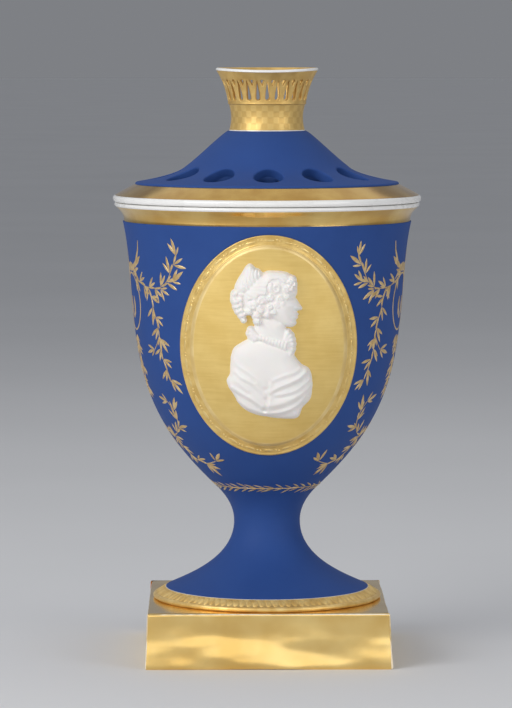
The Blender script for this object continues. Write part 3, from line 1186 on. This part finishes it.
dome_face, dome_inside = pierced_cell(dome, lid_wall, dome_cell, [scent_hole], hole_soft,
                                      soft_inside=0.0, spacing=1.7)
dome_end = dome.length[-1]
dome_under = dome.part(0, cell_low, lid_wall)
dome_under = dome_under[dome_under[:, 0] < flange_bore]
dome_over = dome.part(cell_high, dome_end, lid_wall)
dome_over = dome_over[dome_over[:, 1] < roof_z]
band_gold = gilding("band_gold", 0.1, 18, 14, 0.02, ((198, 155, 80), (222, 184, 106)))
lid_seat = [(flange_bore, flange_z), (flange_r - 0.5, flange_z), (flange_r, flange_z + 0.5), (flange_r, seat_z),
            (bead_r - bead_edge, seat_z)]
bead_line = joined(rounding(bead_r - bead_edge, seat_z + bead_edge, bead_edge, -90, 0, 8),
                   rounding(bead_r - bead_edge, band_z - bead_edge, bead_edge, 0, 80, 8))
band_line = joined(bead_line[-1], curve((band_foot_r, band_z), -58, 3.5, (band_r, edge_z), -62, 3.5))
brim_line = joined(band_line[-1], (band_r + 0.05, edge_z + 0.3), (band_r - 0.2, edge_z + 0.8),
                   (band_r - 0.6, edge_z + 1.1), dome.part(0, cell_low))
dome_crown = joined(dome.part(cell_high, dome_end), (0, dome_top))
lid_roof = joined((0, roof_z), (dome_over[-1, 0], roof_z), dome_over[::-1])
flange_inside = joined(dome_under[::-1], (flange_bore, dome_under[0, 1]), (flange_bore, flange_z))
lid_shapes = [turned(profile, made) for profile, made in (
    (lid_seat, raw_white), (bead_line, clear_white), (band_line, band_gold), (brim_line, matt_blue),
    (dome_crown, matt_blue), (lid_roof, clear_white), (flange_inside, clear_white))]
lid_shapes += [grown(ring_of, points, [], faces, made, Count=hole_count)
               for (points, faces), made in ((dome_face, matt_blue), (dome_inside, clear_white))]
piece("lid_turned", lid_shapes, "cover", ["lid"])

# Basket finial: a small openwork basket that crowns the lid, cast in porcelain and gilded.
# Its drum is woven in low relief, and above a ring its gallery is cut through with slots and eyes,
# up to a flared lip left white. It is luted to the lid before firing.
ring_z = dome_top + 14.2
flare_z = ring_z + 1.2
basket_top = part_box("basket_finial")[1].z / MM
basket_r, ring_out, gallery_r, flare_r = 20.7, 0.6, 24.0, 28.1
basket_wall, basket_floor = 1.8, dome_top + 3
slot_count, slot_r, slot_h, slot_soft = 26, 1.35, 11.4, 0.4
slot_z = flare_z + 1.0
eye_h, eye_w = 3.2, 2.0
weave_rows, weave_count, weave_depth = 4, 20, 0.036
drum_line_h, lip_sag = 0.3, 0.045
slot_steps = 16
basket_steps = slot_count * slot_steps

basket_gold = gilding("basket_gold", 0.38, 6, 5, 0.006, ((218, 178, 102), (234, 198, 122)), 0.62)
weave_low, weave_high = dome_top + 0.9, ring_z - 0.3


def woven_gilding():
    """Gilding over a plain weave: strands that lie on top are paler than those that dip under."""
    material, shader, place = finish("woven_gold")
    x, y, z = place.axes()
    turn = y.maths("ARCTAN2", x) * weave_count
    row = (z - weave_low * MM) * (math.pi * weave_rows / ((weave_high - weave_low) * MM))
    over = (turn.maths("SINE") * row.maths("SINE")).rise(-0.2, 0.2)
    cloud = place.mottle(6, 3.0)
    feed(shader, Base_Color=(0.6 * over + 0.4 * cloud).between((217, 178, 102), (233, 198, 122)),
         Metallic=0.5 + 0.1 * cloud, Roughness=0.4 + 0.1 * cloud,
         Normal=roughened(place, place.mottle(2), 0.004))
    return material


woven_gold = woven_gilding()
drum_waist, drum_pull = 0.8, 5
drum_lean = math.degrees(math.atan(2 * drum_waist / drum_pull))
drum_line = curve((basket_r, dome_top), -drum_lean, drum_pull, (basket_r, ring_z), drum_lean, drum_pull, 66)
flare_line = curve((basket_r + ring_out, flare_z), 7, 6.4, (flare_r, basket_top), 31, 7, 60)
gallery = Wall(flare_line, gallery_r, -math.pi / 2)


def along_gallery(z):
    """The length along the gallery's face at a height."""
    return np.interp(z, flare_line[:, 1], gallery.length)


gallery_low, gallery_high = along_gallery(slot_z - 0.75), along_gallery(slot_z + slot_h + 0.9)
lip_start = along_gallery(basket_top - 0.8)


def widened(loop, out):
    """A loop moved outwards by this much."""
    d = np.roll(loop, -1, 0) - np.roll(loop, 1, 0)
    d /= np.linalg.norm(d, axis=1)[:, None]
    return loop + out * np.stack([d[:, 1], -d[:, 0]], 1)


slot_pitch = 2 * math.pi * gallery.flat_r / slot_count


def slot_outline(out):
    """A slot: a round bottom and a long head that closes to a point."""
    bottom = [(slot_r * math.cos(a), slot_r * math.sin(a)) for a in np.radians(np.arange(180, 361, 18))]
    head = slot_h - slot_r
    right = [(slot_r * (1 - s ** 1.35), head * s) for s in np.linspace(0.08, 0.97, 12)]
    left = [(-x, y) for x, y in reversed(right)]
    loop = np.array(bottom + right + left)
    loop[:, 1] = along_gallery(slot_z + slot_r + loop[:, 1])
    return gallery.flat(widened(loop, out))


def eye_outline(out):
    """An eye between two slot heads, standing on its point."""
    half = [(0.62 * eye_w / 2, 0.35 * eye_h), (eye_w / 2, 0.7 * eye_h), (0.55 * eye_w / 2, eye_h)]
    loop = rounded_path([(0, 0)] + half + [(-x, y) for x, y in reversed(half)], True, 4)
    loop[:, 1] = along_gallery(slot_z + slot_h - eye_h + loop[:, 1])
    moved = gallery.flat(widened(loop, out * 0.8))
    moved[:, 0] += slot_pitch / 2
    return moved


bend_low, bend_high = along_gallery(slot_z + 6.4), along_gallery(slot_z + 7.7)
heights = np.concatenate([np.linspace(gallery_low, bend_low, 8), np.linspace(bend_low, bend_high, 3)[1:],
                          np.linspace(bend_high, gallery_high, 6)[1:]])
shift = np.interp(heights, [bend_low, bend_high], [-slot_pitch / 2, -slot_pitch / 4])
slot_cell = cell_loop(list(zip(shift, heights)), slot_pitch, slot_steps)
gallery_face, gallery_inside = pierced_cell(gallery, basket_wall, slot_cell, [slot_outline, eye_outline],
                                            slot_soft, slot_soft, spacing=0.55)

drum_levels = []
for r, z in drum_line:
    row = (z - weave_low) / (weave_high - weave_low) * weave_rows
    strand = max(-1.0, min(1.0, 4 * math.sin(math.pi * row))) if 0 < row < weave_rows else 0.0
    ring = []
    for k in range(basket_steps):
        a = k * 2 * math.pi / basket_steps
        block = weave_depth * strand * max(-1.0, min(1.0, 4 * math.sin(weave_count * a)))
        ring.append(((r + block) * math.cos(a), (r + block) * math.sin(a), z))
    drum_levels.append((ring, clear_white if z < dome_top + drum_line_h else woven_gold))
lip_mid = gallery.at(gallery.length[-1], basket_wall / 2)
lip_turn = math.degrees(math.atan2(*(-gallery.inward[-1])[::-1]))
lip_in, lip_down, lip_r_more = 0.3, 0.75, 0.05
lip_arc = rounding(lip_mid[0] - lip_in, lip_mid[1] - lip_down, basket_wall / 2 + lip_r_more,
                   lip_turn, lip_turn + 180, 12)
basket_lip = joined(gallery.part(lip_start, gallery.length[-1] - 0.5), lip_arc[:9])
lip_inside = joined(lip_arc[8:], gallery.part(lip_start, gallery.length[-1] - 0.6, basket_wall)[::-1])
drum_bore = drum_line + basket_wall * normals(drum_line)
drum_bore = drum_bore[(drum_bore[:, 1] > basket_floor) & (drum_bore[:, 1] < ring_z)]
flare_bore = gallery.part(0, gallery_low, basket_wall)
flare_bore = flare_bore[flare_bore[:, 1] > ring_z + 0.2]
basket_ring = [(basket_r + 0.35, ring_z + 0.1), (basket_r + ring_out, ring_z + 0.4),
               (basket_r + ring_out + 0.1, ring_z + 0.7), (basket_r + ring_out, ring_z + 1.05)]


def gilt_zone(*parts):
    """One gilt zone of the basket, turned."""
    return turned(joined(*parts), basket_gold, basket_steps)


basket_shapes = rings_shape(drum_levels, closed=False)
basket_shapes += [
    gilt_zone((0, dome_top), drum_line[0]),
    gilt_zone(drum_line[-1], basket_ring, gallery.part(0, gallery_low))]
basket_shapes += [grown(ring_of, points, [], faces, basket_gold, Count=slot_count)
                  for points, faces in (gallery_face, gallery_inside)]
basket_shapes += [
    gilt_zone(gallery.part(gallery_high, lip_start)),
    turned(basket_lip, clear_white, basket_steps), gilt_zone(lip_inside),
    gilt_zone(gallery.part(gallery_high, lip_start, basket_wall)),
    gilt_zone((0, basket_floor), (drum_bore[0, 0], basket_floor), drum_bore, flare_bore)]


def sagged(shape):
    """The lip, which sank a hair at the front in the kiln."""
    points = np.array(shape[0])
    share = np.clip((points[:, 2] / MM - flare_z) / (basket_top - flare_z), 0, 1)
    points[:, 2] -= lip_sag * share ** 3 * np.clip(-points[:, 1], 0, None) ** 2 / (flare_r * MM)
    return [tuple(p) for p in points], shape[1], shape[2]


piece("basket_openwork", [sagged(shape) for shape in basket_shapes], "cover",
      ["basket_finial"])

# Studio: a pale round floor that runs out to the horizon on every side, so that no view is blocked.
# Soft lamps stand to the left, to the right, above and far in front, where the camera doesn't see them.


def studio_paper():
    """Matt pale paper, a little cloudy."""
    material, shader, place = finish("studio_paper", Specular_IOR_Level=0.15)
    cloud = place.mottle(400, 2.0)
    feed(shader, Base_Color=cloud.between((218, 218, 219), (226, 226, 227)), Roughness=0.8 + 0.1 * cloud)
    return material


floor_r, floor_sides = 40.0, 96
floor_mesh = bpy.data.meshes.new("studio_floor")
floor_rim = [(floor_r * math.cos(a), floor_r * math.sin(a), 0.0)
             for a in np.linspace(0, 2 * math.pi, floor_sides, endpoint=False)]
floor_mesh.from_pydata(floor_rim, [], [range(floor_sides)])
floor_mesh.materials.append(studio_paper())
studio_floor = bpy.data.objects.new("studio_floor", floor_mesh)
bpy.context.scene.collection.objects.link(studio_floor)

vase_middle = Vector((0, 0, 0.16))
for name, place, size, power in (("key_left", (-1.2, -1.1, 0.9), (1.2, 0.95), 17.0),
                                 ("fill_right", (1.25, -1.1, 0.6), (0.9, 0.9), 6.0),
                                 ("top_soft", (0.0, 0.35, 1.5), (2.1, 2.1), 6.0),
                                 ("front_card", (0.0, -8.0, 1.44), (7.7, 2.9), 66.0)):
    lamp = bpy.data.lights.new(name, "AREA")
    lamp.shape, lamp.size, lamp.size_y, lamp.energy = "RECTANGLE", *size, power
    stand = bpy.data.objects.new(name, lamp)
    stand.location = place
    stand.rotation_euler = (vase_middle - Vector(place)).to_track_quat("-Z", "Y").to_euler()
    stand.visible_camera = False
    bpy.context.scene.collection.objects.link(stand)

# The world lights the room, and above the horizon the camera sees it in the tone of the far floor.
room_light, horizon_tone = (0.28, 0.29, 0.31, 1), (0.209, 0.216, 0.232, 1)
world = bpy.data.worlds.new("studio")
world.use_nodes = True
seen = Wire(world.node_tree).node("ShaderNodeLightPath")
sky = seen.node("ShaderNodeMix", {"data_type": "RGBA"}, {0: seen, 6: room_light, 7: horizon_tone}, out=2)
feed(world.node_tree.nodes["Background"], Color=sky)
bpy.context.scene.world = world
bpy.context.scene.view_settings.view_transform = "Standard"

# Camera: a little above the bowl, two metres off, with a long lens.
# It looks down by a few degrees, and the vase stands a hair to the right of its aim.
camera_far, pitch_down, swing = 2.084, math.radians(4.6), math.radians(-0.7)
aim_z, aim_left = 0.1640, 0.00603
right = Vector((math.cos(swing), math.sin(swing), 0))
aim = Vector((0, 0, aim_z)) - aim_left * right
back = Vector((math.cos(pitch_down) * math.sin(swing), -math.cos(pitch_down) * math.cos(swing),
               math.sin(pitch_down)))
lens = bpy.data.cameras.new("camera")
lens.lens, lens.sensor_width, lens.clip_end = 193.2, 36, 50
camera = bpy.data.objects.new("camera", lens)
camera.location = aim + camera_far * back
camera.rotation_euler = back.to_track_quat("Z", "Y").to_euler()
bpy.context.scene.collection.objects.link(camera)
bpy.context.scene.camera = camera
